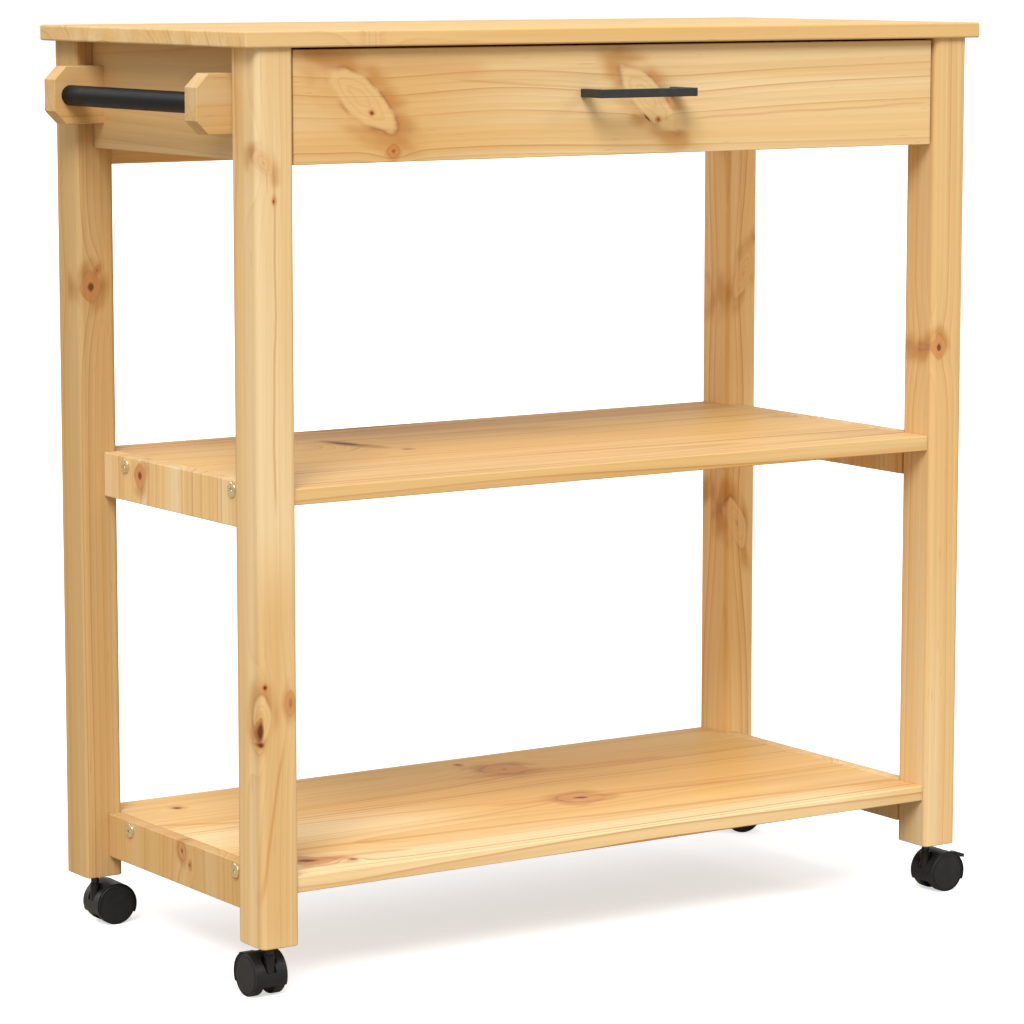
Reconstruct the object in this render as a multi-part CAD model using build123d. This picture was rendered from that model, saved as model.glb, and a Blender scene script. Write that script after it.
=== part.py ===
from build123d import *
import math
import os

# A pine kitchen island cart on four twin-wheel castors. Millimetres.
# While it is built, X runs along the cart from its middle, Y from front to back, and Z up from the floor.
# The last section moves everything so that the origin is the bottom centre of the overall box.

# Tabletop
top_length = 840
top_depth = 400
top_height = 885
top_thickness = 15
top_rounding = 2

# Legs
leg_width = 39
leg_depth = 46
leg_rounding = 5
leg_side_inset = 12.5
leg_end_inset = 5
leg_bottom = 51.5
leg_bottom_bevel = 0.8

# Boards between the legs
board = 15
board_rounding = 1
apron_recess = 18
side_apron_height = 102
back_apron_height = 119
rail_recess = 24
rail_height = 43
shelf_tops = {"middle": 473, "lower": 114.5}
shelf_overlap = 190

# Towel bar
bar_radius = 9.75
bar_wall = 1.2
bar_socket = 12
bar_reach = 17.5
bracket_thickness = 22
bracket_height = 55
bracket_reach = 34.5
bracket_chamfer = 12.5
bar_height = 819.5

# Drawer
drawer_gap = 2.5
drawer_front_bottom = 765
drawer_front_top = 868
drawer_front_face = -190
drawer_side_x = 362
drawer_board = 12
drawer_side_bottom = 772
drawer_side_top = 856
drawer_back_face = 150
drawer_panel = 4
drawer_panel_bottom = 779
drawer_panel_tongue = 5

# Drawer runners and the cleats that hold the top
runner_height = 14
runner_bottom = 806
runner_inner_x = 357
runner_front = -172
runner_back = 160
groove_depth = 6
groove_play = 0.3
cleat_width = 20
cleat_height = 12

# Pull
pull_length = 110
pull_section = 8
pull_reach = 35
pull_height = 823.7
pull_rounding = 0.8

# Fasteners
dowel_radius = 4
dowel_length = 30
screw_radius = 2
screw_head_radius = 4
screw_head_depth = 2.4
screw_recess = 1.4
bolt_radius = 3
bolt_head_radius = 7
bolt_head_depth = 2.2
bolt_length = 50
bolt_drop = 8.5
bolt_spacing = 104
barrel_radius = 5
barrel_height = 11
barrel_setback = 25
pull_screw_radius = 2
pull_screw_bite = 10

# Castors, each in its own frame: the swivel axis is Z, and the wheels trail towards +X.
castor_trail = 16
wheel_radius = 20
wheel_inner = 5.6
wheel_outer = 16.4
wheel_bore_end = 14
wheel_groove = (17.6, 18.4)
wheel_groove_depth = 0.6
axle_radius = 2.5
axle_half = 13.8
hood_radius = 21.5
hood_half = 16.5
hood_bottom = 10.9
wheel_space_radius = 20.5
web_half = 5
boss_radius = 5
boss_top = 41
boss_bottom = 14
notch_radius = 7.5
notch_floor = 24
pivot_radius = 3
pivot_play = 0.05
pivot_bottom = 17
stem_radius = 4
stem_shoulder = 41.3
stem_top = 88.5
socket_radius = 6
socket_length = 40
lever_reach = 48
lever_half = 5.75
lever_neck_half = 2.8
lever_neck_end = 37.5
lever_slot_half = 3.3
lever_pin = (25, 33)
lever_pin_radius = 1.25

# Values that follow from the ones above
top_underside = top_height - top_thickness
leg_outer_x = top_length / 2 - leg_side_inset
leg_inner_x = leg_outer_x - leg_width
leg_outer_y = top_depth / 2 - leg_end_inset
leg_inner_y = leg_outer_y - leg_depth
leg_x = (leg_outer_x + leg_inner_x) / 2
leg_y = (leg_outer_y + leg_inner_y) / 2
apron_outer_x = leg_outer_x - apron_recess
apron_inner_x = apron_outer_x - board
apron_outer_y = leg_outer_y - apron_recess
apron_inner_y = apron_outer_y - board
rail_outer_x = leg_outer_x - rail_recess
bracket_end_x = leg_outer_x + bracket_reach
bar_x = -(leg_outer_x + bar_reach)
drawer_inner_x = drawer_side_x - drawer_board
drawer_front_back = drawer_front_face + board
pull_front = drawer_front_face - pull_reach

BASE = (Align.CENTER, Align.CENTER, Align.MIN)
LEFT, RIGHT = -1, 1
corners = {
    "front_left": (LEFT, -1),
    "front_right": (RIGHT, -1),
    "back_left": (LEFT, 1),
    "back_right": (RIGHT, 1),
}
sides = {"left": LEFT, "right": RIGHT}
trail_angles = {"front_left": 90, "front_right": 0, "back_left": -2, "back_right": -24}
braked = ("front_left", "front_right")


# Shared shapes

def block(x, y, z, rounding=0):
    """A board between three pairs of coordinates."""
    spans = [sorted(pair) for pair in (x, y, z)]
    middle = [(low + high) / 2 for low, high in spans]
    body = Pos(*middle) * Box(*[high - low for low, high in spans])
    return fillet(body.edges(), rounding) if rounding else body


def rod(start, way, length, radius):
    return Plane(origin=start, z_dir=way) * Cylinder(radius, length, align=BASE)


def countersunk(start, way, length):
    """A countersunk wood screw without its driver recess, which is also the hole that it fills."""
    head = Cone(screw_head_radius, screw_radius, screw_head_depth, align=BASE)
    return Plane(origin=start, z_dir=way) * (head + Cylinder(screw_radius, length, align=BASE))


def cross_recess(start, way):
    arm, width = 1.2 * screw_head_radius, 0.22 * screw_head_radius
    cross = Box(arm, width, screw_recess, align=BASE) + Box(width, arm, screw_recess, align=BASE)
    return Plane(origin=start, z_dir=way) * cross


def drilled(body, holes):
    for hole in holes:
        body = body - hole
    return body


# Where the fasteners go

def rail_dowels(side, end, shelf_top):
    x = side * (rail_outer_x - board / 2)
    start = end * (leg_inner_y - dowel_length / 2)
    heights = (shelf_top - rail_height + 11, shelf_top - 11)
    return [rod((x, start, z), (0, end, 0), dowel_length, dowel_radius) for z in heights]


def apron_dowels(side, end):
    x = side * (apron_outer_x - board / 2)
    start = end * (leg_inner_y - dowel_length / 2)
    heights = (top_underside - 85, top_underside - 18)
    return [rod((x, start, z), (0, end, 0), dowel_length, dowel_radius) for z in heights]


def back_apron_dowels(side):
    start = side * (leg_inner_x - dowel_length / 2)
    y = apron_outer_y - board / 2
    heights = (top_underside - 95, top_underside - 25)
    return [rod((start, y, z), (side, 0, 0), dowel_length, dowel_radius) for z in heights]


def top_dowel(side, end):
    bite = 10
    start = (side * leg_x, end * leg_y, top_underside + bite)
    return rod(start, (0, 0, -1), dowel_length, dowel_radius)


def leg_dowels(side, end):
    found = [top_dowel(side, end)] + apron_dowels(side, end)
    for shelf_top in shelf_tops.values():
        found += rail_dowels(side, end, shelf_top)
    return found + (back_apron_dowels(side) if end > 0 else [])


def bracket_screw_starts():
    inner = -apron_inner_x
    y = leg_inner_y - bracket_thickness / 2
    return [(inner, end * y, bar_height + lift) for end in (-1, 1) for lift in (-16, 16)]


def runner_screw_starts(side):
    z = runner_bottom + runner_height / 2
    return [(side * runner_inner_x, y, z) for y in (-110, 0, 110)]


def cleat_screws_up(side):
    x = side * (apron_inner_x - cleat_width / 2)
    return [((x, y, top_underside - cleat_height), (0, 0, 1), 21) for y in (-100, 100)]


def cleat_screws_out(side):
    x = side * (apron_inner_x - cleat_width)
    z = top_underside - cleat_height / 2
    return [((x, y, z), (side, 0, 0), 30) for y in (-50, 50)]


def drawer_screw_starts(side):
    y = drawer_back_face - drawer_board / 2
    return [(side * drawer_side_x, y, z) for z in (drawer_side_bottom + 26, drawer_side_top - 14)]


def drawer_dowels(side):
    x = side * (drawer_inner_x + drawer_board / 2)
    start = drawer_front_back - 10
    heights = (drawer_side_bottom + 18, drawer_side_top - 12)
    return [rod((x, start, z), (0, 1, 0), dowel_length, dowel_radius) for z in heights]


def bolt_starts(side, shelf_top):
    z = shelf_top - bolt_drop
    return [(side * rail_outer_x, y, z) for y in (-bolt_spacing, bolt_spacing)]


def bolt_shank(side, start):
    return rod(start, (-side, 0, 0), bolt_length, bolt_radius)


def barrel_hole(side, start, shelf_top):
    x = start[0] - side * (board + barrel_setback)
    return Pos(x, start[1], shelf_top - board) * Cylinder(barrel_radius, barrel_height, align=BASE)


def stem_socket_hole(side, end):
    return Pos(side * leg_x, end * leg_y, leg_bottom) * Cylinder(socket_radius, socket_length, align=BASE)


# Frame

def tabletop():
    body = block(
        (-top_length / 2, top_length / 2),
        (-top_depth / 2, top_depth / 2),
        (top_underside, top_height),
        top_rounding,
    )
    body = drilled(body, [top_dowel(side, end) for side, end in corners.values()])
    for side in sides.values():
        body = drilled(body, [countersunk(*screw) for screw in cleat_screws_up(side)])
    return body


def leg(side, end):
    body = block(
        (side * leg_inner_x, side * leg_outer_x),
        (end * leg_inner_y, end * leg_outer_y),
        (leg_bottom, top_underside),
    )
    body = fillet(body.edges().filter_by(Axis.Z), leg_rounding)
    body = chamfer(body.edges().group_by(Axis.Z)[0], leg_bottom_bevel)
    return drilled(body, leg_dowels(side, end) + [stem_socket_hole(side, end)])


def side_apron(side):
    body = block(
        (side * apron_inner_x, side * apron_outer_x),
        (-leg_inner_y, leg_inner_y),
        (top_underside - side_apron_height, top_underside),
        board_rounding,
    )
    holes = apron_dowels(side, -1) + apron_dowels(side, 1)
    holes += [countersunk(start, (side, 0, 0), 28) for start in runner_screw_starts(side)]
    holes += [countersunk(*screw) for screw in cleat_screws_out(side)]
    if side == LEFT:
        holes += [countersunk(start, (side, 0, 0), 40) for start in bracket_screw_starts()]
    return drilled(body, holes)


def back_apron():
    body = block(
        (-leg_inner_x, leg_inner_x),
        (apron_inner_y, apron_outer_y),
        (top_underside - back_apron_height, top_underside),
        board_rounding,
    )
    return drilled(body, back_apron_dowels(LEFT) + back_apron_dowels(RIGHT))


def shelf(shelf_top):
    body = block(
        (-leg_inner_x, leg_inner_x),
        (-shelf_overlap, shelf_overlap),
        (shelf_top - board, shelf_top),
        board_rounding,
    )
    for side in sides.values():
        for start in bolt_starts(side, shelf_top):
            body = body - bolt_shank(side, start) - barrel_hole(side, start, shelf_top)
    return body


def shelf_rail(side, shelf_top):
    body = block(
        (side * leg_inner_x, side * rail_outer_x),
        (-leg_inner_y, leg_inner_y),
        (shelf_top - rail_height, shelf_top),
        board_rounding,
    )
    holes = rail_dowels(side, -1, shelf_top) + rail_dowels(side, 1, shelf_top)
    holes += [bolt_shank(side, start) for start in bolt_starts(side, shelf_top)]
    return drilled(body, holes)


def shelf_bolts():
    bolts = []
    for shelf_top in shelf_tops.values():
        for side in sides.values():
            for start in bolt_starts(side, shelf_top):
                outward = Plane(origin=start, z_dir=(side, 0, 0))
                head = Cylinder(bolt_head_radius, bolt_head_depth, align=BASE)
                head = fillet(head.edges().sort_by(Axis.Z)[-1], 1)
                key = Pos(0, 0, 0.4) * extrude(RegularPolygon(2.4, 6), bolt_head_depth)
                bolts.append(outward * (head - key) + bolt_shank(side, start))
    return Compound(bolts)


def barrel_nuts():
    nuts = []
    for shelf_top in shelf_tops.values():
        for side in sides.values():
            for start in bolt_starts(side, shelf_top):
                nuts.append(barrel_hole(side, start, shelf_top) - bolt_shank(side, start))
    return Compound(nuts)


def frame_dowels():
    found = []
    for side, end in corners.values():
        found += leg_dowels(side, end)
    return Compound(found)


# Towel bar

def bar_bracket(end):
    """A chamfered block behind the front leg or in front of the back leg, with a blind hole for the bar."""
    body = block(
        (-bracket_end_x, -apron_outer_x),
        (end * (leg_inner_y - bracket_thickness), end * leg_inner_y),
        (bar_height - bracket_height / 2, bar_height + bracket_height / 2),
    )
    outer_edges = body.edges().filter_by(Axis.Y).group_by(Axis.X)[0]
    body = chamfer(outer_edges, bracket_chamfer)
    free_edges = body.edges().filter_by(lambda edge: edge.center().X < -apron_outer_x - 1)
    body = fillet(free_edges, board_rounding)
    holes = [towel_bar_rod(bar_radius)]
    holes += [countersunk(start, (LEFT, 0, 0), 40) for start in bracket_screw_starts()]
    return drilled(body, holes)


def towel_bar_rod(radius):
    half = leg_inner_y - bracket_thickness + bar_socket
    return rod((bar_x, -half, bar_height), (0, 1, 0), 2 * half, radius)


def towel_bar():
    return towel_bar_rod(bar_radius) - towel_bar_rod(bar_radius - bar_wall)


def screw_group(placed):
    screws = [countersunk(start, way, length) - cross_recess(start, way) for start, way, length in placed]
    return Compound(screws)


# Drawer runners and top cleats

def runner(side):
    z = (runner_bottom, runner_bottom + runner_height)
    tongue = block((side * runner_inner_x, side * leg_inner_x), (runner_front, runner_back), z)
    spacer = block((side * runner_inner_x, side * apron_inner_x), (-leg_inner_y, leg_inner_y), z)
    holes = [countersunk(start, (side, 0, 0), 28) for start in runner_screw_starts(side)]
    return drilled(tongue + spacer, holes)


def cleat(side):
    body = block(
        (side * (apron_inner_x - cleat_width), side * apron_inner_x),
        (-leg_inner_y, leg_inner_y),
        (top_underside - cleat_height, top_underside),
        board_rounding,
    )
    return drilled(body, [countersunk(*screw) for screw in cleat_screws_up(side) + cleat_screws_out(side)])


# Drawer

def drawer_bottom():
    half = drawer_inner_x + drawer_panel_tongue
    front = drawer_front_back - drawer_panel_tongue
    z = (drawer_panel_bottom, drawer_panel_bottom + drawer_panel)
    return block((-half, half), (front, drawer_back_face), z)


def drawer_front():
    half = leg_inner_x - drawer_gap
    body = block(
        (-half, half),
        (drawer_front_face, drawer_front_back),
        (drawer_front_bottom, drawer_front_top),
        board_rounding,
    )
    holes = [drawer_bottom()] + drawer_dowels(LEFT) + drawer_dowels(RIGHT)
    return drilled(body, holes + [pull_screw_shank(side) for side in sides.values()])


def drawer_side(side):
    body = block(
        (side * drawer_inner_x, side * drawer_side_x),
        (drawer_front_back, drawer_back_face),
        (drawer_side_bottom, drawer_side_top),
    )
    groove = block(
        (side * (drawer_side_x - groove_depth), side * (drawer_side_x + 1)),
        (drawer_front_back, drawer_back_face + 1),
        (runner_bottom - groove_play, runner_bottom + runner_height + groove_play),
    )
    holes = [groove, drawer_bottom()] + drawer_dowels(side)
    holes += [countersunk(start, (-side, 0, 0), 32) for start in drawer_screw_starts(side)]
    return drilled(body, holes)


def drawer_back():
    body = block(
        (-drawer_inner_x, drawer_inner_x),
        (drawer_back_face - drawer_board, drawer_back_face),
        (drawer_panel_bottom + drawer_panel, drawer_side_top),
    )
    for side in sides.values():
        body = drilled(body, [countersunk(start, (-side, 0, 0), 32) for start in drawer_screw_starts(side)])
    return body


# Pull

def pull_foot_x(side):
    return side * (pull_length - pull_section) / 2


def pull_screw_shank(side):
    start = (pull_foot_x(side), drawer_front_back, pull_height)
    return rod(start, (0, -1, 0), board + pull_screw_bite, pull_screw_radius)


def drawer_pull():
    half = pull_length / 2
    z = (pull_height - pull_section / 2, pull_height + pull_section / 2)
    body = block((-half, half), (pull_front, drawer_front_face), z)
    finger_gap = block(
        (-half + pull_section, half - pull_section),
        (pull_front + pull_section, drawer_front_face),
        z,
    )
    body = body - finger_gap
    outer_edges = [edge for edge in body.edges() if edge.center().Y < drawer_front_face - 1]
    body = fillet(outer_edges, pull_rounding)
    return drilled(body, [pull_screw_shank(side) for side in sides.values()])


def pull_screws():
    screws = []
    for side in sides.values():
        start = (pull_foot_x(side), drawer_front_back, pull_height)
        head = rod(start, (0, 1, 0), 2.6, 2 * pull_screw_radius)
        face = (start[0], drawer_front_back + 2.6, pull_height)
        screws.append(head - cross_recess(face, (0, -1, 0)) + pull_screw_shank(side))
    return Compound(screws)


# Castors

def on_axle(radius, y_from, y_to, x=castor_trail, z=wheel_radius):
    return rod((x, y_from, z), (0, 1, 0), y_to - y_from, radius)


def hood(has_brake):
    """The barrel over both wheels, with the web between them, the swivel boss and a notch around the boss."""
    body = on_axle(hood_radius, -hood_half, hood_half)
    body -= Pos(0, 0, notch_floor) * Cylinder(notch_radius, hood_radius, align=BASE)
    body += Pos(0, 0, boss_bottom) * Cylinder(boss_radius, boss_top - boss_bottom, align=BASE)
    body -= on_axle(wheel_space_radius, web_half, hood_half + 1)
    body -= on_axle(wheel_space_radius, -hood_half - 1, -web_half)
    body -= block((-30, 60), (-30, 30), (-5, hood_bottom))
    body -= on_axle(axle_radius, -web_half, web_half)
    body -= Pos(0, 0, pivot_bottom) * Cylinder(pivot_radius + pivot_play, boss_top, align=BASE)
    if has_brake:
        body -= block((19, 45), (-lever_slot_half, lever_slot_half), (25.5, 50))
        body -= on_axle(lever_pin_radius, -web_half, web_half, *lever_pin)
    return body


def axle():
    return on_axle(axle_radius, -axle_half, axle_half)


def wheel(side):
    """A tyre-less wheel with a blind bore and a flat closed outer face with a groove near its rim."""
    low, high = sorted((side * wheel_inner, side * wheel_outer))
    body = on_axle(wheel_radius, low, high)
    rims = body.edges().filter_by(GeomType.CIRCLE).sort_by(Axis.Y)
    inner_rim, outer_rim = (rims[0], rims[-1]) if side > 0 else (rims[-1], rims[0])
    body = fillet(inner_rim, 2.5)
    rims = body.edges().filter_by(GeomType.CIRCLE).sort_by(Axis.Y)
    body = fillet(rims[-1] if side > 0 else rims[0], 1.2)
    low, high = sorted((side * wheel_inner, side * wheel_bore_end))
    body -= on_axle(axle_radius + pivot_play, low, high)
    low, high = sorted((side * (wheel_outer - wheel_groove_depth), side * (wheel_outer + 1)))
    return body - (on_axle(wheel_groove[1], low, high) - on_axle(wheel_groove[0], low, high))


def brake_lever():
    """A rocking lever that fills its slot in the barrel and ends in a tongue behind it."""
    flush = hood_radius - 0.3

    def on_barrel(x):
        return (x, wheel_radius + math.sqrt(flush**2 - (x - castor_trail) ** 2))

    inner_top, root = on_barrel(19.6), on_barrel(30.5)
    tip_top, tip_bottom = (lever_reach, 32.9), (lever_reach - 0.4, 29.6)
    throat, pocket, heel = (34, 28.6), (29, 27.8), (19.6, 31.5)
    outline = [
        ThreePointArc(inner_top, on_barrel(25.5), root),
        ThreePointArc(root, (40, 35.9), tip_top),
        Line(tip_top, tip_bottom),
        ThreePointArc(tip_bottom, (40.5, 30.9), throat),
        Line(throat, pocket),
        Line(pocket, heel),
        Line(heel, inner_top),
    ]
    body = extrude(Plane.XZ * make_face(outline), lever_half, both=True)
    for side in (-1, 1):
        body -= block((15, lever_neck_end), (side * lever_neck_half, side * 8), (20, 45))
    tip_corners = body.edges().filter_by(lambda edge: edge.center().X > lever_reach - 0.3)
    tip_corners = tip_corners.filter_by(lambda edge: abs(edge.center().Y) > lever_half - 0.1)
    body = fillet(tip_corners, 2)
    x, z = lever_pin
    return body - on_axle(lever_pin_radius + pivot_play, -lever_half, lever_half, x, z)


def brake_pin():
    return on_axle(lever_pin_radius, -web_half, web_half, *lever_pin)


def castor_stem():
    shaft = Pos(0, 0, stem_shoulder) * Cylinder(stem_radius, stem_top - stem_shoulder, align=BASE)
    return shaft + Pos(0, 0, pivot_bottom) * Cylinder(pivot_radius, stem_top - pivot_bottom, align=BASE)


def stem_socket():
    sleeve = Pos(0, 0, leg_bottom) * Cylinder(socket_radius, socket_length, align=BASE)
    return sleeve - castor_stem()


def at_leg(corner):
    side, end = corners[corner]
    return Pos(side * leg_x, end * leg_y, 0)


# All pieces, by node name

nodes = {
    "tabletop": tabletop(),
    "apron_back": back_apron(),
    "towel_bar": towel_bar(),
    "bar_bracket_front": bar_bracket(-1),
    "bar_bracket_back": bar_bracket(1),
    "bracket_screws": screw_group([(start, (LEFT, 0, 0), 40) for start in bracket_screw_starts()]),
    "frame_dowels": frame_dowels(),
    "shelf_bolts": shelf_bolts(),
    "barrel_nuts": barrel_nuts(),
    "castor_stems": Compound([at_leg(corner) * castor_stem() for corner in corners]),
    "stem_sockets": Compound([at_leg(corner) * stem_socket() for corner in corners]),
    "drawer_front": drawer_front(),
    "drawer_back": drawer_back(),
    "drawer_bottom": drawer_bottom(),
    "drawer_pull": drawer_pull(),
    "pull_screws": pull_screws(),
    "drawer_dowels": Compound(drawer_dowels(LEFT) + drawer_dowels(RIGHT)),
}

for shelf_name, shelf_top in shelf_tops.items():
    nodes[f"shelf_{shelf_name}"] = shelf(shelf_top)

runner_screws, cleat_screws, drawer_screws = [], [], []
for side_name, side in sides.items():
    nodes[f"apron_{side_name}"] = side_apron(side)
    nodes[f"runner_{side_name}"] = runner(side)
    nodes[f"cleat_{side_name}"] = cleat(side)
    nodes[f"drawer_side_{side_name}"] = drawer_side(side)
    for shelf_name, shelf_top in shelf_tops.items():
        nodes[f"rail_{shelf_name}_{side_name}"] = shelf_rail(side, shelf_top)
    runner_screws += [(start, (side, 0, 0), 28) for start in runner_screw_starts(side)]
    cleat_screws += cleat_screws_up(side) + cleat_screws_out(side)
    drawer_screws += [(start, (-side, 0, 0), 32) for start in drawer_screw_starts(side)]
nodes["runner_screws"] = screw_group(runner_screws)
nodes["cleat_screws"] = screw_group(cleat_screws)
nodes["drawer_screws"] = screw_group(drawer_screws)

for corner, (side, end) in corners.items():
    place = at_leg(corner) * Rot(0, 0, trail_angles[corner])
    nodes[f"leg_{corner}"] = leg(side, end)
    nodes[f"castor_hood_{corner}"] = place * hood(corner in braked)
    nodes[f"castor_axle_{corner}"] = place * axle()
    nodes[f"wheel_left_{corner}"] = place * wheel(1)
    nodes[f"wheel_right_{corner}"] = place * wheel(-1)
    if corner in braked:
        nodes[f"brake_lever_{corner}"] = place * brake_lever()
        nodes[f"brake_pin_{corner}"] = place * brake_pin()

# The overall box ends at the towel bar brackets, a brake lever, the pull and the tabletop's back edge.
box_middle_x = (leg_x + lever_reach - bracket_end_x) / 2
box_middle_y = (pull_front + top_depth / 2) / 2
to_origin = Pos(-box_middle_x, -box_middle_y, 0)

os.makedirs("parts", exist_ok=True)
for name, shape in nodes.items():
    export_step(to_origin * shape, f"parts/{name}.step")
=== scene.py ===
import math

import bpy
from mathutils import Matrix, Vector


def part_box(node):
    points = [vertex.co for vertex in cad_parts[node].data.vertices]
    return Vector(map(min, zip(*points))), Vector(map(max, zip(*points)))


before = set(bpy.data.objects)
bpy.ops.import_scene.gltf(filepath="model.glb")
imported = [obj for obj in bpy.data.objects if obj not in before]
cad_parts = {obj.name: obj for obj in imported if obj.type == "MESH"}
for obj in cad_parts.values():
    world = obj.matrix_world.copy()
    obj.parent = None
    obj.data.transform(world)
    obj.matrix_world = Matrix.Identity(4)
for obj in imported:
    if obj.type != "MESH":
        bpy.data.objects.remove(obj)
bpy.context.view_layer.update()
print("frame loaded")


# arithmetic on a node's output adds Math nodes to its material
class Value:
    def __init__(self, finish, socket):
        self.finish = finish
        self.socket = socket

    def math(self, operation, *values):
        return self.finish.node("ShaderNodeMath", {"operation": operation}, dict(enumerate(values)))

    def __add__(self, other):
        return self.math("ADD", self, other)

    def __radd__(self, other):
        return self.math("ADD", other, self)

    def __sub__(self, other):
        return self.math("SUBTRACT", self, other)

    def __rsub__(self, other):
        return self.math("SUBTRACT", other, self)

    def __mul__(self, other):
        return self.math("MULTIPLY", self, other)

    def __rmul__(self, other):
        return self.math("MULTIPLY", other, self)

    def __truediv__(self, other):
        return self.math("DIVIDE", self, other)

    def __pow__(self, other):
        return self.math("POWER", self, other)

    def floor(self):
        return self.math("FLOOR", self)

    def fract(self):
        return self.math("FRACT", self)

    def root(self):
        return self.math("SQRT", self)

    def exp(self):
        return self.math("EXPONENT", self)

    def abs(self):
        return self.math("ABSOLUTE", self)

    def most(self, other):
        return self.math("MAXIMUM", self, other)

    # 0 below low, 1 above high, and soft between them; high may be the smaller one
    def ease(self, low, high):
        settings = {"interpolation_type": "SMOOTHSTEP"}
        if low > high:
            return 1 - self.finish.node("ShaderNodeMapRange", settings, {0: self, 1: high, 2: low})
        return self.finish.node("ShaderNodeMapRange", settings, {0: self, 1: low, 2: high})


# the nodes of one material, or of the world
class Finish:
    def __init__(self, holder):
        self.holder = holder
        holder.use_nodes = True
        self.tree = holder.node_tree
        self.tree.nodes.clear()

    def node(self, kind, settings=None, values=None, output=0):
        made = self.tree.nodes.new(kind)
        for key, setting in (settings or {}).items():
            setattr(made, key, setting)
        for key, value in (values or {}).items():
            if isinstance(value, Value):
                self.tree.links.new(value.socket, made.inputs[key])
            else:
                made.inputs[key].default_value = value
        return Value(self, made.outputs[output]) if made.outputs else made

    def mix(self, factor, first, second, blend="MIX"):
        values = {0: factor}
        for key, colour in ((6, first), (7, second)):
            values[key] = colour if isinstance(colour, Value) else (*colour, 1)
        return self.node("ShaderNodeMix", {"data_type": "RGBA", "blend_type": blend}, values, 2)

    def place(self):
        return self.node("ShaderNodeTexCoord", None, None, "Object")

    def parts(self, vector):
        split = self.node("ShaderNodeSeparateXYZ", None, {0: vector}).socket.node
        return [Value(self, output) for output in split.outputs]

    def noise(self, vector, scale, detail=2.0, roughness=0.5):
        values = {"Vector": vector, "Scale": scale, "Detail": detail, "Roughness": roughness}
        return self.node("ShaderNodeTexNoise", None, values)

    def chance(self, seed):
        return self.node("ShaderNodeTexWhiteNoise", {"noise_dimensions": "1D"}, {"W": seed})

    def relief(self, height, depth):
        return self.node("ShaderNodeBump", None, {"Strength": 1.0, "Distance": depth, "Height": height})

    def surface(self, **sockets):
        values = {key.replace("_", " "): value for key, value in sockets.items()}
        shader = self.node("ShaderNodeBsdfPrincipled", None, values)
        self.node("ShaderNodeOutputMaterial", None, {0: shader})
        return self.holder


def paint(material, *nodes):
    for name in nodes:
        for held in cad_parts[name].material_slots:
            held.material = material


axisNumber = {"x": 0, "y": 1, "z": 2}

pineColours = {
    "pale": (0.90, 0.71, 0.41),
    "cream": (0.77, 0.580, 0.325),
    "golden": (0.82, 0.505, 0.165),
    "early": (0.72, 0.480, 0.215),
    "honey": (0.63, 0.360, 0.115),
    "late": (0.49, 0.23, 0.065),
    "amber": (0.52, 0.20, 0.055),
    "brown": (0.33, 0.125, 0.04),
    "heart": (0.14, 0.038, 0.012),
}

# how fast each noise changes along and across the grain, its detail and its roughness, and for a
# mask the two values between which it fades in
pineNoises = {
    "sway": (1.2, 3, 1, 0.5),
    "ripple": (5, 12, 1, 0.5),
    "fade": (1.5, 20, 1, 0.5, 0.25, 0.6),    # where the ring lines show best
    "broad": (0.8, 22, 2, 0.5, 0.38, 0.68),  # wide pale streaks
    "tint": (0.9, 55, 2, 0.5, 0.46, 0.74),   # narrow darker streaks
    "patch": (1.0, 15, 1, 0.5, 0.48, 0.80),  # darker clouds
    "fibre": (5, 330, 2, 0.55),
    "dash": (30, 420, 1, 0.5, 0.71, 0.80),   # resin
    "curl": (45, 60, 2, 0.5),                # ragged outlines of the knots
    "gaps": (22, 50, 1, 0.5, 0.36, 0.62),    # where a knot's outline shows best
    "wander": (9, 3, 1, 0.5),                # bends of the veins
}

staveLook = {
    "sideways": 0.09,          # how far the rings of one stave may lie from the next one's
    "lengthways": 9,
    "tone": 0.07,
    "joint": 0.03,             # how dark the glue lines are
    "jointEdges": (0.490, 0.499),
}


# One board's finish, with the places on it: u runs along the grain and v across the main face, w
# through the thickness from its middle, and below is the distance from the main face. In a board of
# staves each stave has its own rings. What is added to a seed only keeps its draws apart.
class Board(Finish):
    def __init__(self, name, grain, width, seed, staves):
        super().__init__(bpy.data.materials.new("pine." + name))
        low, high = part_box(name)
        middle = (low + high) / 2
        long, wide = axisNumber[grain], axisNumber[width]
        thick = 3 - long - wide
        face = high[thick] if thick == 2 else low[thick]  # the top, or the front or the left side
        place = self.parts(self.place())
        self.u = place[long]
        self.v = place[wide]
        self.w = place[thick] - middle[thick]
        self.below = (place[thick] - face).abs()
        self.seed = seed
        self.along = self.u
        self.side = self.v - middle[wide]
        self.light = 0
        shift = seed * 3.7
        if staves:
            stave = (self.v - low[wide]) / staves
            number = stave.floor()
            within = stave.fract() - 0.5
            self.side = within * staves + (self.chance(number + seed) - 0.5) * staveLook["sideways"]
            self.along = self.u + self.chance(number + seed + 50) * staveLook["lengthways"]
            tone = (self.chance(number + seed + 90) - 0.5) * staveLook["tone"]
            self.light = tone - within.abs().ease(*staveLook["jointEdges"]) * staveLook["joint"]
            shift = number * 5.3 + seed
        self.grainPlace = self.node(
            "ShaderNodeCombineXYZ", None, {0: self.along + shift, 1: self.side, 2: self.w})

    # a mask from 0 to 1, or a swing either way from 0
    def figure(self, name):
        along, across, detail, roughness, *edges = pineNoises[name]
        scaled = self.node("ShaderNodeVectorMath", {"operation": "MULTIPLY"},
                           {0: self.grainPlace, 1: (along, across, across)})
        noise = self.noise(scaled, 1.0, detail, roughness)
        return noise.ease(*edges) if edges else noise - 0.5


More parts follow.
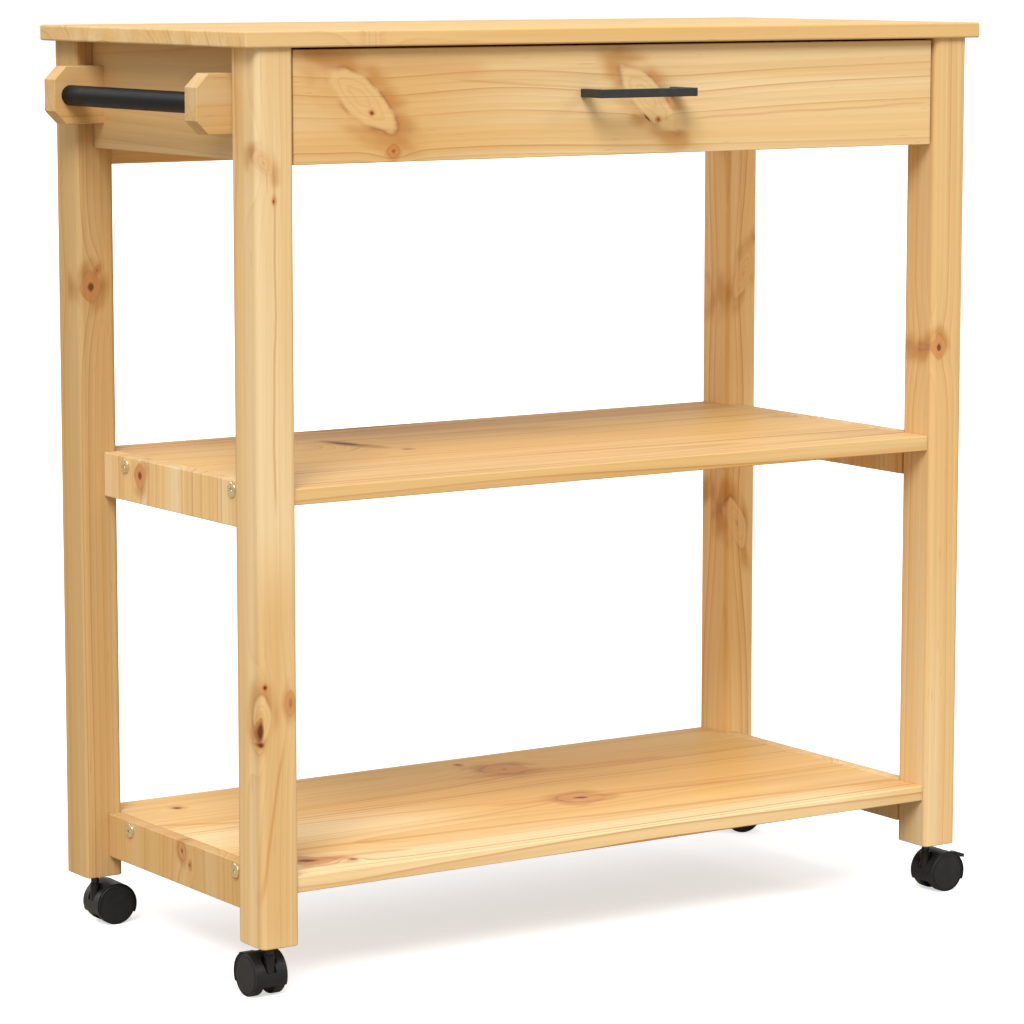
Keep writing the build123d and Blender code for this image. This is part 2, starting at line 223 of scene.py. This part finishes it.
ringLook = {
    "width": 0.0065,
    "sway": 0.024,
    "ripple": 0.0018,
    "taper": 0.004,
    "evenness": 2.6,           # higher leaves fewer strong rings
    "soft": (0.34, 0.10),      # strength of the slow darkening in a strong ring and in any ring
    "sharp": (0.42, 0.04),     # the same for the line at its end
    "slowEnd": (1.0, 0.93),    # the parts of a ring between which these rise and fall
    "sharpStart": (0.72, 0.93),
    "sharpEnd": (1.0, 0.95),
    "faint": 0.4,              # what is left of a line where it fades
}


# the distance from the tree's centre, which lies pith[0] sideways and pith[1] below the board
def ringField(board, pith):
    radius = ((board.side - pith[0]) ** 2 + (board.w + pith[1]) ** 2).root()
    sway = board.figure("sway") * ringLook["sway"]
    ripple = board.figure("ripple") * ringLook["ripple"]
    return radius + (sway + ripple) + board.along * ringLook["taper"]


# each ring darkens slowly, ends in a sharp line, and has its own strength
def ringLines(board, field):
    phase = field / ringLook["width"]
    part = phase.fract()
    strength = board.chance(phase.floor() + board.seed * 11) ** ringLook["evenness"]
    slow = part * part.ease(*ringLook["slowEnd"])
    sharp = part.ease(*ringLook["sharpStart"]) * part.ease(*ringLook["sharpEnd"])
    (softStrong, softAny), (sharpStrong, sharpAny) = ringLook["soft"], ringLook["sharp"]
    ring = slow * (strength * softStrong + softAny) + sharp * (strength * sharpStrong + sharpAny)
    faint = ringLook["faint"]
    return ring * (board.figure("fade") * (1 - faint) + faint)


knotLook = {
    "squareness": 1.6,         # 2 is an ellipse, and less is more pointed
    "ragged": 0.42,
    "bendLength": 2.2,         # how far the rings bend round a knot, in its own lengths and breadths
    "bendBreadth": 1.5,
    "bendAny": 0.004,          # how much they bend, and how much more for a broad knot
    "bendBroad": 0.45,
    "inside": (1.04, 0.88),    # distances from the middle, where 1 is the outline
    "haloInner": (0.98, 1.12),
    "haloOuter": (2.1, 1.1),
    "outline": 0.08,
    "heart": (1.3, 0.5),       # times the knot's own core
    "broad": 0.009,            # a knot with more half width than this has more rings in it
    "ringsBroad": 3.2,
    "ringsNarrow": 1.6,
    "ringEdges": (0.55, 0.95),
    "crackCurl": 0.004,
    "crackWidth": (0.0008, 0.0001),
    "crackLength": (0.40, 0.1),
    "crackDark": 0.4,
    "haloGaps": 0.80,          # shade where the gaps mask is full, and shade everywhere
    "haloAny": 0.12,
    "outlineGaps": 0.70,
    "outlineAny": 0.10,
    "woodShade": 0.5,
    "redShade": 0.8,
    "ringShade": 0.22,
}


# a knot's middle along and across the board, its half length and half width, its tilt in degrees,
# how dark its heart is, how red its wood is, how strong its edge is, how deep it goes, and how much
# of it the heart takes
def knot(along, across, length, breadth, tilt=0, heart=0.8, red=0.0, edge=0.6, deep=1.0, core=0.14):
    return along, across, length, breadth, tilt, heart, red, edge, deep, core


# bends the rings round the knots, and gives the layers of colour that draw them
def addKnots(board, knots, field):
    look = knotLook
    power = look["squareness"]
    curl = board.figure("curl")
    gaps = board.figure("gaps")
    halo, wood, red, rings, outline, heart = 0, 0, 0, 0, 0, 0
    for spot, offset, length, breadth, tilt, dark, redness, edge, deep, core in knots:
        turn = math.radians(tilt)
        du, dv, depth = board.u - spot, board.v - offset, board.below / deep
        p = (du * math.cos(turn) + dv * math.sin(turn)).abs() / length
        q = (dv * math.cos(turn) - du * math.sin(turn)).abs() / breadth
        reach = (p ** power + q ** power + depth ** power) ** (1 / power) + curl * look["ragged"]
        bendU, bendV = du / (length * look["bendLength"]), dv / (breadth * look["bendBreadth"])
        near = ((bendU ** 2 + bendV ** 2 + depth ** 2) * -0.5).exp()
        field = field + near * (look["bendAny"] + breadth * look["bendBroad"])
        inside = reach.ease(*look["inside"])
        halo = (reach.ease(*look["haloInner"]) * reach.ease(*look["haloOuter"]) * edge).most(halo)
        wood = (inside * (1 - redness)).most(wood)
        red = (inside * redness).most(red)
        outline = ((((reach - 1.0) / look["outline"]) ** 2 * -1).exp() * edge).most(outline)
        number = look["ringsBroad"] if breadth > look["broad"] else look["ringsNarrow"]
        rings = ((reach * number).fract().ease(*look["ringEdges"]) * inside).most(rings)
        crack = (dv + curl * look["crackCurl"]).abs().ease(*look["crackWidth"])
        crack = crack * du.abs().ease(*(length * part for part in look["crackLength"]))
        middle = reach.ease(*(core * part for part in look["heart"])) * dark
        heart = (middle.most(crack * dark * look["crackDark"]) * inside).most(heart)
    return field, [
        (halo * (gaps * look["haloGaps"] + look["haloAny"]), "late"),
        (wood * look["woodShade"], "early"),
        (red * look["redShade"], "amber"),
        (rings * look["ringShade"], "late"),
        (outline * (gaps * look["outlineGaps"] + look["outlineAny"]), "brown"),
        (heart, "heart"),
    ]


veinAndPaintedLightLook = {
    "softEnd": 0.015,
    "wander": 0.008,
    "deepest": 0.018,
    "skin": 0.002,             # full strength down to here
}


# A vein is a line or a band on the main face: its colour, the two places it runs between (along,
# across, along, across), its half width and its strength. Veins of one colour don't add up. Some
# broad bands on the shelves paint light and shade: paler where light falls, darker where shade falls.
def addVeinsAndPaintedLight(board, veinsAndPaintedLight):
    bands = {}
    wander = board.figure("wander") * veinAndPaintedLightLook["wander"]
    for tone, u0, v0, u1, v1, breadth, strength in veinsAndPaintedLight:
        soft = max(breadth, veinAndPaintedLightLook["softEnd"])
        first, last = min(u0, u1), max(u0, u1)
        line = board.v - v0 - (board.u - u0) * ((v1 - v0) / (u1 - u0)) + wander
        ends = board.u.ease(first - soft, first + soft) * board.u.ease(last + soft, last - soft)
        shallow = board.below.ease(veinAndPaintedLightLook["deepest"], veinAndPaintedLightLook["skin"])
        band = line.abs().ease(breadth, 0) * ends * shallow * strength
        bands[tone] = band.most(bands.get(tone, 0))
    return [(band, tone) for tone, band in bands.items()]


pineCoat = {
    "roughness": 0.46,
    "bareRoughness": 0.64,     # of the boards without lacquer
    "roughFibre": 0.16,
    "roughRing": 0.10,
    "coat": 0.03,
    "coatRoughness": 0.28,
    "gloss": 0.16,
    "reliefFibre": 0.4,
    "reliefRing": 0.7,
    "reliefDepth": 0.00012,
    "lightFibre": 0.16,
    "dashShade": 0.25,
}


# grain and width are the letters of the axes along and across the board's main face, and staves is
# how wide its staves are; shade is its brightness, lines the strength of its rings, streak, warm and
# cloud how much honey it has in streaks, all over and in patches. On some boards shade and warm are
# also painted light and shade: painted light on the back right leg, and a painted warm shade on the
# left apron and, in part, on the back left leg.
def pineBoard(name, grain, width, pith, seed, knots=(), veinsAndPaintedLight=(), staves=0, shade=1.0, lines=1.0,
              streak=0.5, warm=0.0, cloud=0.2, lacquer=True):
    board = Board(name, grain, width, seed, staves)
    field = ringField(board, pith)
    knotLayers = []
    if knots:
        field, knotLayers = addKnots(board, knots, field)
    ring = ringLines(board, field) * lines
    fibre = board.figure("fibre")
    layers = [
        (board.figure("patch") * cloud * (1 - warm) + warm, "honey"),
        (board.figure("tint") * streak, "honey"),
        *(addVeinsAndPaintedLight(board, veinsAndPaintedLight) if veinsAndPaintedLight else []),
        (ring, "late"),
        (board.figure("dash") * pineCoat["dashShade"], "brown"),
        *knotLayers,
    ]
    colour = board.mix(board.figure("broad"), pineColours["early"], pineColours["cream"])
    for factor, tone in layers:
        colour = board.mix(factor, colour, pineColours[tone])
    light = fibre * pineCoat["lightFibre"] + shade + board.light
    grey = board.node("ShaderNodeCombineXYZ", None, {0: light, 1: light, 2: light})
    colour = board.mix(1.0, colour, grey, "MULTIPLY")

    roughness = fibre * pineCoat["roughFibre"] + ring * pineCoat["roughRing"]
    height = fibre * pineCoat["reliefFibre"] - ring * pineCoat["reliefRing"]
    return board.surface(
        Base_Color=colour,
        Roughness=roughness + pineCoat["roughness" if lacquer else "bareRoughness"],
        Normal=board.relief(height, pineCoat["reliefDepth"]),
        Coat_Weight=pineCoat["coat"] if lacquer else 0.0,
        Coat_Roughness=pineCoat["coatRoughness"], IOR=1.46, Specular_IOR_Level=pineCoat["gloss"])


boards = {
    "tabletop": dict(
        grain="x", width="y", pith=(0.06, 0.05), seed=4, staves=0.1, shade=0.96,
        knots=[
            knot(-0.286, -0.186, 0.008, 0.006, heart=0.0, edge=0.3),
            knot(0.15, 0.06, 0.028, 0.014, 12),
            knot(-0.1, 0.12, 0.008, 0.007, -8, 0.8, 0.9),
            knot(0.31, -0.09, 0.02, 0.009, 5),
        ],
        veinsAndPaintedLight=[
            ("golden", -0.45, 0.0, 0.45, 0.001, 0.5, 0.70),
            ("late", -0.3, -0.12, 0.35, -0.10, 0.004, 0.3),
            ("late", -0.4, -0.02, 0.2, -0.04, 0.005, 0.3),
        ]),
    "drawer_front": dict(
        grain="x", width="z", pith=(-0.09, 0.05), seed=9,
        knots=[
            knot(-0.292, 0.823, 0.048, 0.019, -38, 0.0, edge=1.0),
            knot(-0.281, 0.810, 0.0036, 0.0030, -20, 0.9, 0.9, 0.6, core=0.6),
            knot(0.025, 0.818, 0.046, 0.017, -44, 0.0, edge=0.9),
            knot(0.037, 0.797, 0.0042, 0.0036, -20, 0.8, 0.9, 0.6, core=0.5),
            knot(0.024, 0.799, 0.0080, 0.0016, -42, 0.9, 0.6, 0.4, core=0.7),
            knot(-0.258, 0.775, 0.0066, 0.0062, 0, 0.6, 1.0, 0.8, core=0.3),
        ],
        veinsAndPaintedLight=[
            ("honey", -0.37, 0.80, -0.16, 0.80, 0.12, 0.8),
            ("pale", 0.08, 0.82, 0.40, 0.80, 0.060, 0.22),
            ("amber", -0.36, 0.852, -0.16, 0.848, 0.012, 0.30),
            ("late", -0.19, 0.838, 0.0, 0.826, 0.0022, 0.40),
            ("late", 0.08, 0.798, 0.36, 0.806, 0.0022, 0.35),
        ]),
    "leg_front_left": dict(
        grain="z", width="x", pith=(0.07, 0.03), seed=2, cloud=0.1, streak=0.35, lines=0.8, shade=0.98,
        knots=[
            knot(0.266, -0.4045, 0.024, 0.011, 4, 0.0, 0.0, 0.8, 0.016),
            knot(0.254, -0.4040, 0.013, 0.0026, 3, 1.0, 1.0, 0.9, 0.014, 0.8),
            knot(0.242, -0.4040, 0.0032, 0.0030, 0, 1.0, 1.0, 0.8, 0.012, 0.8),
            knot(0.295, -0.400, 0.0035, 0.0028, 0, 1.0, 1.0, 0.9, 0.012, 0.7),
            knot(0.278, -0.3735, 0.013, 0.0055, 0, 0.4, 0.9, 0.7, 0.014, 0.4),
            knot(0.768, -0.397, 0.014, 0.008, -35, 0.2, 0.3, 1.0, 0.02),
            knot(0.734, -0.387, 0.004, 0.0022, 0, 0.8, 0.9, 0.8, 0.02, 0.5),
        ],
        veinsAndPaintedLight=[
            ("honey", 0.03, -0.39, 0.40, -0.39, 0.05, 0.65),
            ("late", 0.76, -0.386, 0.46, -0.388, 0.0020, 0.55),
            ("amber", 0.233, -0.383, 0.10, -0.405, 0.003, 0.50),
        ]),
    "leg_front_right": dict(
        grain="z", width="x", pith=(-0.06, 0.04), seed=14, warm=0.05,
        knots=[
            knot(0.562, 0.380, 0.013, 0.009, 0, 0.9, 0.9, 0.9, core=0.3),
        ]),
    # shade 0.81 and warm 0.5 make this leg darker and warmer: partly the wood's tone, partly painted warm
    # shade of a back leg
    "leg_back_left": dict(
        grain="z", width="x", pith=(0.06, 0.05), seed=23, warm=0.5, shade=0.81,
        knots=[
            knot(0.634, -0.392, 0.016, 0.012, 0, 0.9, 0.9, 1.0, 0.03, 0.3),
            knot(0.650, -0.385, 0.007, 0.004, 30, 0.6, 0.9, 0.8, 0.03, 0.3),
        ]),
    # shade 1.3 makes this leg's wood brighter: painted light, lifting the shade it stands in behind the
    # shelves and under the top
    "leg_back_right": dict(
        grain="z", width="x", pith=(-0.07, 0.05), seed=31, shade=1.3,
        knots=[
            knot(0.613, 0.392, 0.030, 0.011, 22, 0.2, 0.2, 1.0),
            knot(0.344, 0.386, 0.032, 0.012, -18, 0.2, 0.2, 1.0),
        ]),
    "shelf_middle": dict(
        grain="x", width="y", pith=(0.05, 0.06), seed=6, staves=0.095, lines=1.4, streak=0.8,
        knots=[
            knot(-0.150, 0.088, 0.009, 0.034, 18, 1.0, 1.0, 1.0, core=0.7),
            knot(-0.122, 0.019, 0.006, 0.006, 0, 0.7, 1.0, 1.0, core=0.4),
            knot(0.361, 0.043, 0.012, 0.010, 0, 0.4),
        ],
        veinsAndPaintedLight=[
            ("golden", -0.44, 0.02, 0.44, 0.0, 0.30, 0.8),
            # the broad amber band along the back is painted shade where the top shades the shelf, and the
            # pale band across the front half below is painted light
            ("amber", -0.45, 0.165, 0.45, 0.150, 0.045, 0.35),
            ("pale", -0.40, -0.09, 0.40, -0.11, 0.05, 0.20),
            ("amber", -0.36, 0.120, 0.10, 0.105, 0.006, 0.35),
            ("amber", -0.30, -0.02, 0.30, -0.045, 0.004, 0.35),
            ("late", 0.05, 0.080, 0.42, 0.070, 0.006, 0.35),
        ]),
    "shelf_lower": dict(
        grain="x", width="y", pith=(0.05, 0.06), seed=17, staves=0.127, shade=1.01, lines=1.5, streak=0.85,
        knots=[
            knot(0.064, 0.128, 0.026, 0.026, -20, 0.8, 0.8, 1.0),
            knot(0.035, 0.173, 0.006, 0.008, 0, 0.9, 1.0, 1.0, core=0.5),
            knot(0.050, -0.032, 0.026, 0.022, -20, 0.9, 0.7, 1.0, core=0.25),
            knot(-0.324, -0.124, 0.030, 0.018, -25, 0.9, 1.0, 1.0, core=0.35),
            knot(-0.312, 0.147, 0.007, 0.007, 0, 1.0, 1.0, 1.0, core=0.5),
            knot(-0.284, -0.142, 0.006, 0.005, 0, 0.9, 1.0, 1.0, core=0.5),
        ],
        veinsAndPaintedLight=[
            ("golden", -0.44, 0.05, 0.44, 0.0, 0.30, 0.9),
            # the broad honey band darkens the right half: partly the wood's tone, partly painted shade
            ("honey", -0.10, 0.08, 0.44, 0.04, 0.24, 0.85),
            ("pale", -0.44, -0.150, 0.30, -0.172, 0.055, 0.90),
            # this pale band on the left half is partly paler wood, partly painted light where the key
            # light falls between the legs
            ("pale", -0.44, 0.02, -0.12, -0.03, 0.09, 0.75),
            ("amber", -0.34, -0.078, 0.39, -0.138, 0.006, 0.50),
            ("amber", -0.30, 0.022, 0.40, -0.050, 0.004, 0.35),
            ("amber", -0.36, 0.060, 0.40, 0.020, 0.003, 0.35),
            ("amber", -0.04, -0.018, 0.22, -0.046, 0.010, 0.45),
            ("amber", 0.00, 0.112, 0.24, 0.092, 0.013, 0.45),
            ("amber", -0.39, -0.116, -0.22, -0.134, 0.008, 0.45),
            ("amber", -0.41, 0.105, -0.27, 0.045, 0.007, 0.45),
        ]),
    "rail_middle_left": dict(
        grain="z", width="y", pith=(0.02, 0.05), seed=41, shade=1.04,
        knots=[
            knot(0.458, 0.088, 0.013, 0.012, 0, 0.9, 1.0, 0.9, core=0.35),
        ]),
    "rail_middle_right": dict(grain="z", width="y", pith=(0.04, 0.06), seed=43),
    "rail_lower_left": dict(
        grain="z", width="y", pith=(-0.03, 0.06), seed=47, warm=0.6, shade=0.93,
        knots=[
            knot(0.105, 0.013, 0.010, 0.007, 20, 0.8, 0.7, 1.0, core=0.35),
            knot(0.094, -0.002, 0.004, 0.003, 0, 0.8, 0.9, 0.9, core=0.5),
        ]),
    "rail_lower_right": dict(grain="z", width="y", pith=(0.0, 0.05), seed=53),
    # warm 0.5 makes the left apron deeper honey: painted warm shade under the tabletop's overhang
    "apron_left": dict(grain="y", width="z", pith=(0.02, 0.06), seed=59, warm=0.5),
    "apron_right": dict(grain="y", width="z", pith=(-0.03, 0.06), seed=61),
    "apron_back": dict(
        grain="x", width="z", pith=(0.04, 0.06), seed=67,
        knots=[
            knot(0.17, 0.80, 0.022, 0.012, 15),
        ]),
    "bar_bracket_front": dict(grain="x", width="z", pith=(0.01, 0.03), seed=71, warm=0.3, shade=0.87),
    "bar_bracket_back": dict(grain="x", width="z", pith=(0.015, 0.04), seed=73, warm=0.3, shade=0.87),
}
innerBoards = {
    "drawer_side_left": dict(grain="y", width="z", pith=(0.02, 0.04), seed=79),
    "drawer_side_right": dict(
        grain="y", width="z", pith=(0.03, 0.05), seed=83,
        knots=[
            knot(0.02, 0.81, 0.010, 0.007, 0, 0.8, 0.6),
        ]),
    "drawer_back": dict(grain="x", width="z", pith=(0.02, 0.05), seed=89),
    "runner_left": dict(grain="y", width="z", pith=(0.0, 0.03), seed=97),
    "runner_right": dict(grain="y", width="z", pith=(0.0, 0.03), seed=101),
    "cleat_left": dict(grain="y", width="z", pith=(0.01, 0.03), seed=103),
    "cleat_right": dict(grain="y", width="z", pith=(0.01, 0.03), seed=107),
}
for name, settings in boards.items():
    paint(pineBoard(name, **settings), name)
for name, settings in innerBoards.items():
    paint(pineBoard(name, lacquer=False, **settings), name)
print("pine boards finished")


plainWoods = {
    "plywood": {"pale": (0.74, 0.56, 0.34), "dark": (0.60, 0.41, 0.22), "stretch": (3, 55, 55)},
    "beech": {"pale": (0.72, 0.51, 0.30), "dark": (0.55, 0.35, 0.18), "stretch": (200, 200, 200)},
}
pores = {
    "finer": 14.0,             # than the figure of the wood
    "shade": 0.3,
    "depth": 0.0001,
    "roughness": 0.55,         # between the pores, and how much more in them
    "rougher": 0.2,
}


def plainWood(name):
    settings = plainWoods[name]
    finish = Finish(bpy.data.materials.new(name))
    scaled = finish.node("ShaderNodeVectorMath", {"operation": "MULTIPLY"},
                         {0: finish.place(), 1: settings["stretch"]})
    figure = finish.noise(scaled, 1.0, 4, 0.6)
    pore = finish.noise(scaled, pores["finer"], 2, 0.6)
    colour = finish.mix(figure.ease(0.35, 0.7), settings["pale"], settings["dark"])
    colour = finish.mix(pore.ease(0.60, 0.75) * pores["shade"], colour, settings["dark"])
    return finish.surface(
        Base_Color=colour, Roughness=pores["roughness"] + pore * pores["rougher"],
        Normal=finish.relief(pore, pores["depth"]), IOR=1.45)


paint(plainWood("plywood"), "drawer_bottom")
paint(plainWood("beech"), "frame_dowels", "drawer_dowels")
print("plywood and dowels finished")


# the moulded parts of the castors have one black
nylon = {"colour": (0.0100, 0.0112, 0.0125), "worn": (0.022, 0.022, 0.023), "gloss": 0.36}
blacks = {
    "barCoat": {"colour": (0.006, 0.0065, 0.0075), "worn": (0.009, 0.010, 0.011), "gloss": 0.10,
                "grain": 1400, "depth": 0.00006, "roughness": 0.42},
    "pullCoat": {"colour": (0.028, 0.032, 0.032), "worn": (0.048, 0.054, 0.054), "gloss": 0.3,
                 "grain": 1700, "depth": 0.00005, "roughness": 0.42},
    "hoodNylon": {**nylon, "grain": 2200, "depth": 0.00008, "roughness": 0.4},
    "wheelNylon": {**nylon, "grain": 1800, "depth": 0.00006, "roughness": 0.44},
    "leverNylon": {**nylon, "grain": 2200, "depth": 0.00008, "roughness": 0.4},
    "socketNylon": {"colour": (0.022, 0.022, 0.023), "worn": (0.039, 0.039, 0.041), "gloss": 0.36,
                    "grain": 1500, "depth": 0.00008, "roughness": 0.5},
}
blackWear = {
    "scale": 90,
    "shade": 0.45,
    "rough": 0.16,
    "dustColour": (0.16, 0.15, 0.14),
    "dustScale": 420,
    "dustShade": 0.12,
    "dustRough": 0.06,
}


def blackCoat(name):
    settings = blacks[name]
    finish = Finish(bpy.data.materials.new(name))
    place = finish.place()
    grain = finish.noise(place, settings["grain"], 2, 0.55)
    wear = finish.noise(place, blackWear["scale"], 4, 0.6)
    dust = finish.noise(place, blackWear["dustScale"], 3, 0.6).ease(0.62, 0.78)
    worn = wear.ease(0.4, 0.75) * blackWear["shade"]
    colour = finish.mix(worn, settings["colour"], settings["worn"])
    colour = finish.mix(dust * blackWear["dustShade"], colour, blackWear["dustColour"])
    rough = (wear - 0.5) * blackWear["rough"] + dust * blackWear["dustRough"]
    return finish.surface(
        Base_Color=colour, Roughness=settings["roughness"] + rough, IOR=1.5,
        Specular_IOR_Level=settings["gloss"], Normal=finish.relief(grain, settings["depth"]))


corners = ("front_left", "front_right", "back_left", "back_right")
hoods = ["castor_hood_" + corner for corner in corners]
wheels = ["wheel_" + side + "_" + corner for side in ("left", "right") for corner in corners]
axles = ["castor_axle_" + corner for corner in corners]
paint(blackCoat("barCoat"), "towel_bar")
paint(blackCoat("pullCoat"), "drawer_pull")
paint(blackCoat("hoodNylon"), *hoods)
paint(blackCoat("wheelNylon"), *wheels)
paint(blackCoat("leverNylon"), "brake_lever_front_left", "brake_lever_front_right")
paint(blackCoat("socketNylon"), "stem_sockets")


metals = {
    "yellowZinc": {"bright": (0.90, 0.82, 0.56), "dull": (0.60, 0.51, 0.30), "roughness": 0.26},
    "zincPlate": {"bright": (0.70, 0.69, 0.65), "dull": (0.48, 0.47, 0.44), "roughness": 0.32},
    "blackSteel": {"bright": (0.055, 0.055, 0.058), "dull": (0.02, 0.02, 0.022), "roughness": 0.36},
    "plainSteel": {"bright": (0.62, 0.62, 0.63), "dull": (0.40, 0.40, 0.41), "roughness": 0.28},
}
tarnish = {
    "scale": 260,
    "shade": 0.7,
    "rough": 0.3,
    "grain": 1500,
    "depth": 0.00003,
}


def plated(name):
    settings = metals[name]
    finish = Finish(bpy.data.materials.new(name))
    place = finish.place()
    cloud = finish.noise(place, tarnish["scale"], 4, 0.6)
    grain = finish.noise(place, tarnish["grain"], 2, 0.5)
    dulled = cloud.ease(0.4, 0.72) * tarnish["shade"]
    colour = finish.mix(dulled, settings["bright"], settings["dull"])
    roughness = settings["roughness"] + (cloud - 0.5) * tarnish["rough"]
    return finish.surface(Base_Color=colour, Metallic=1.0, Roughness=roughness,
                          Normal=finish.relief(grain, tarnish["depth"]))


paint(plated("yellowZinc"), "shelf_bolts", "barrel_nuts")
paint(plated("zincPlate"), "bracket_screws", "runner_screws", "cleat_screws", "pull_screws",
      "drawer_screws")
paint(plated("blackSteel"), "castor_stems")
paint(plated("plainSteel"), "brake_pin_front_left", "brake_pin_front_right", *axles)
print("black pieces and fittings finished")


studio = {
    "floorHalf": 30.0,
    "floorColour": (0.82, 0.82, 0.82),
    "floorRoughness": 0.9,
    "floorGlow": 0.58,
    "floorBounce": (0.40, 0.35, 0.28),   # what the cart sees of the floor
    "skySeen": 1.1,                      # what the camera sees of the sky, and what lights the cart
    "skyLight": 0.60,
    "suns": {
        # how far round to the left of the front, how high, strength, width of the source
        "key": (38, 44, 2.75, 28),
        "right": (-55, 30, 0.45, 14),
        "top": (10, 80, 0.46, 40),
        "rear": (155, 32, 0.55, 40),
    },
}
camera = {
    "place": (-2.1821, -3.2835, 0.9524),
    "yaw": 33.464,             # to the right of straight back, in degrees
    "pitch": -7.923,           # from level, in degrees
    "lens": 140.96,
    "sensor": 36,
    "farthest": 200,
}


def makeFloor():
    half = studio["floorHalf"]
    mesh = bpy.data.meshes.new("floor")
    outline = [(-half, -half, 0), (half, -half, 0), (half, half, 0), (-half, half, 0)]
    mesh.from_pydata(outline, [], [(0, 1, 2, 3)])
    floor = bpy.data.objects.new("floor", mesh)
    bpy.context.scene.collection.objects.link(floor)
    finish = Finish(bpy.data.materials.new("paleFloor"))
    pale = finish.node("ShaderNodeBsdfPrincipled", None, {
        "Base Color": (*studio["floorColour"], 1), "Roughness": studio["floorRoughness"],
        "Emission Color": (1, 1, 1, 1), "Emission Strength": studio["floorGlow"]})
    bounce = finish.node("ShaderNodeBsdfDiffuse", None, {0: (*studio["floorBounce"], 1)})
    seen = finish.node("ShaderNodeLightPath", None, None, "Is Camera Ray")
    either = finish.node("ShaderNodeMixShader", None, {0: seen, 1: bounce, 2: pale})
    finish.node("ShaderNodeOutputMaterial", None, {0: either})
    floor.data.materials.append(finish.holder)


def makeSky():
    finish = Finish(bpy.data.worlds.new("studio"))
    seen = finish.node("ShaderNodeLightPath", None, None, "Is Camera Ray")
    strength = seen * (studio["skySeen"] - studio["skyLight"]) + studio["skyLight"]
    background = finish.node("ShaderNodeBackground", None, {"Color": (1, 1, 1, 1), "Strength": strength})
    finish.node("ShaderNodeOutputWorld", None, {0: background})
    bpy.context.scene.world = finish.holder


def makeSuns():
    for name, (left, height, strength, width) in studio["suns"].items():
        lamp = bpy.data.lights.new("sun_" + name, "SUN")
        lamp.energy = strength
        lamp.angle = math.radians(width)
        sun = bpy.data.objects.new("sun_" + name, lamp)
        sun.rotation_euler = (math.radians(90 - height), 0, -math.radians(left))
        bpy.context.scene.collection.objects.link(sun)


def makeCamera():
    data = bpy.data.cameras.new("view")
    data.lens = camera["lens"]
    data.sensor_width = camera["sensor"]
    data.clip_end = camera["farthest"]
    eye = bpy.data.objects.new("view", data)
    eye.location = camera["place"]
    eye.rotation_euler = (math.radians(90 + camera["pitch"]), 0, -math.radians(camera["yaw"]))
    bpy.context.scene.collection.objects.link(eye)
    bpy.context.scene.camera = eye


makeFloor()
makeSky()
makeSuns()
makeCamera()
bpy.context.scene.view_settings.view_transform = "Standard"
print("studio set")
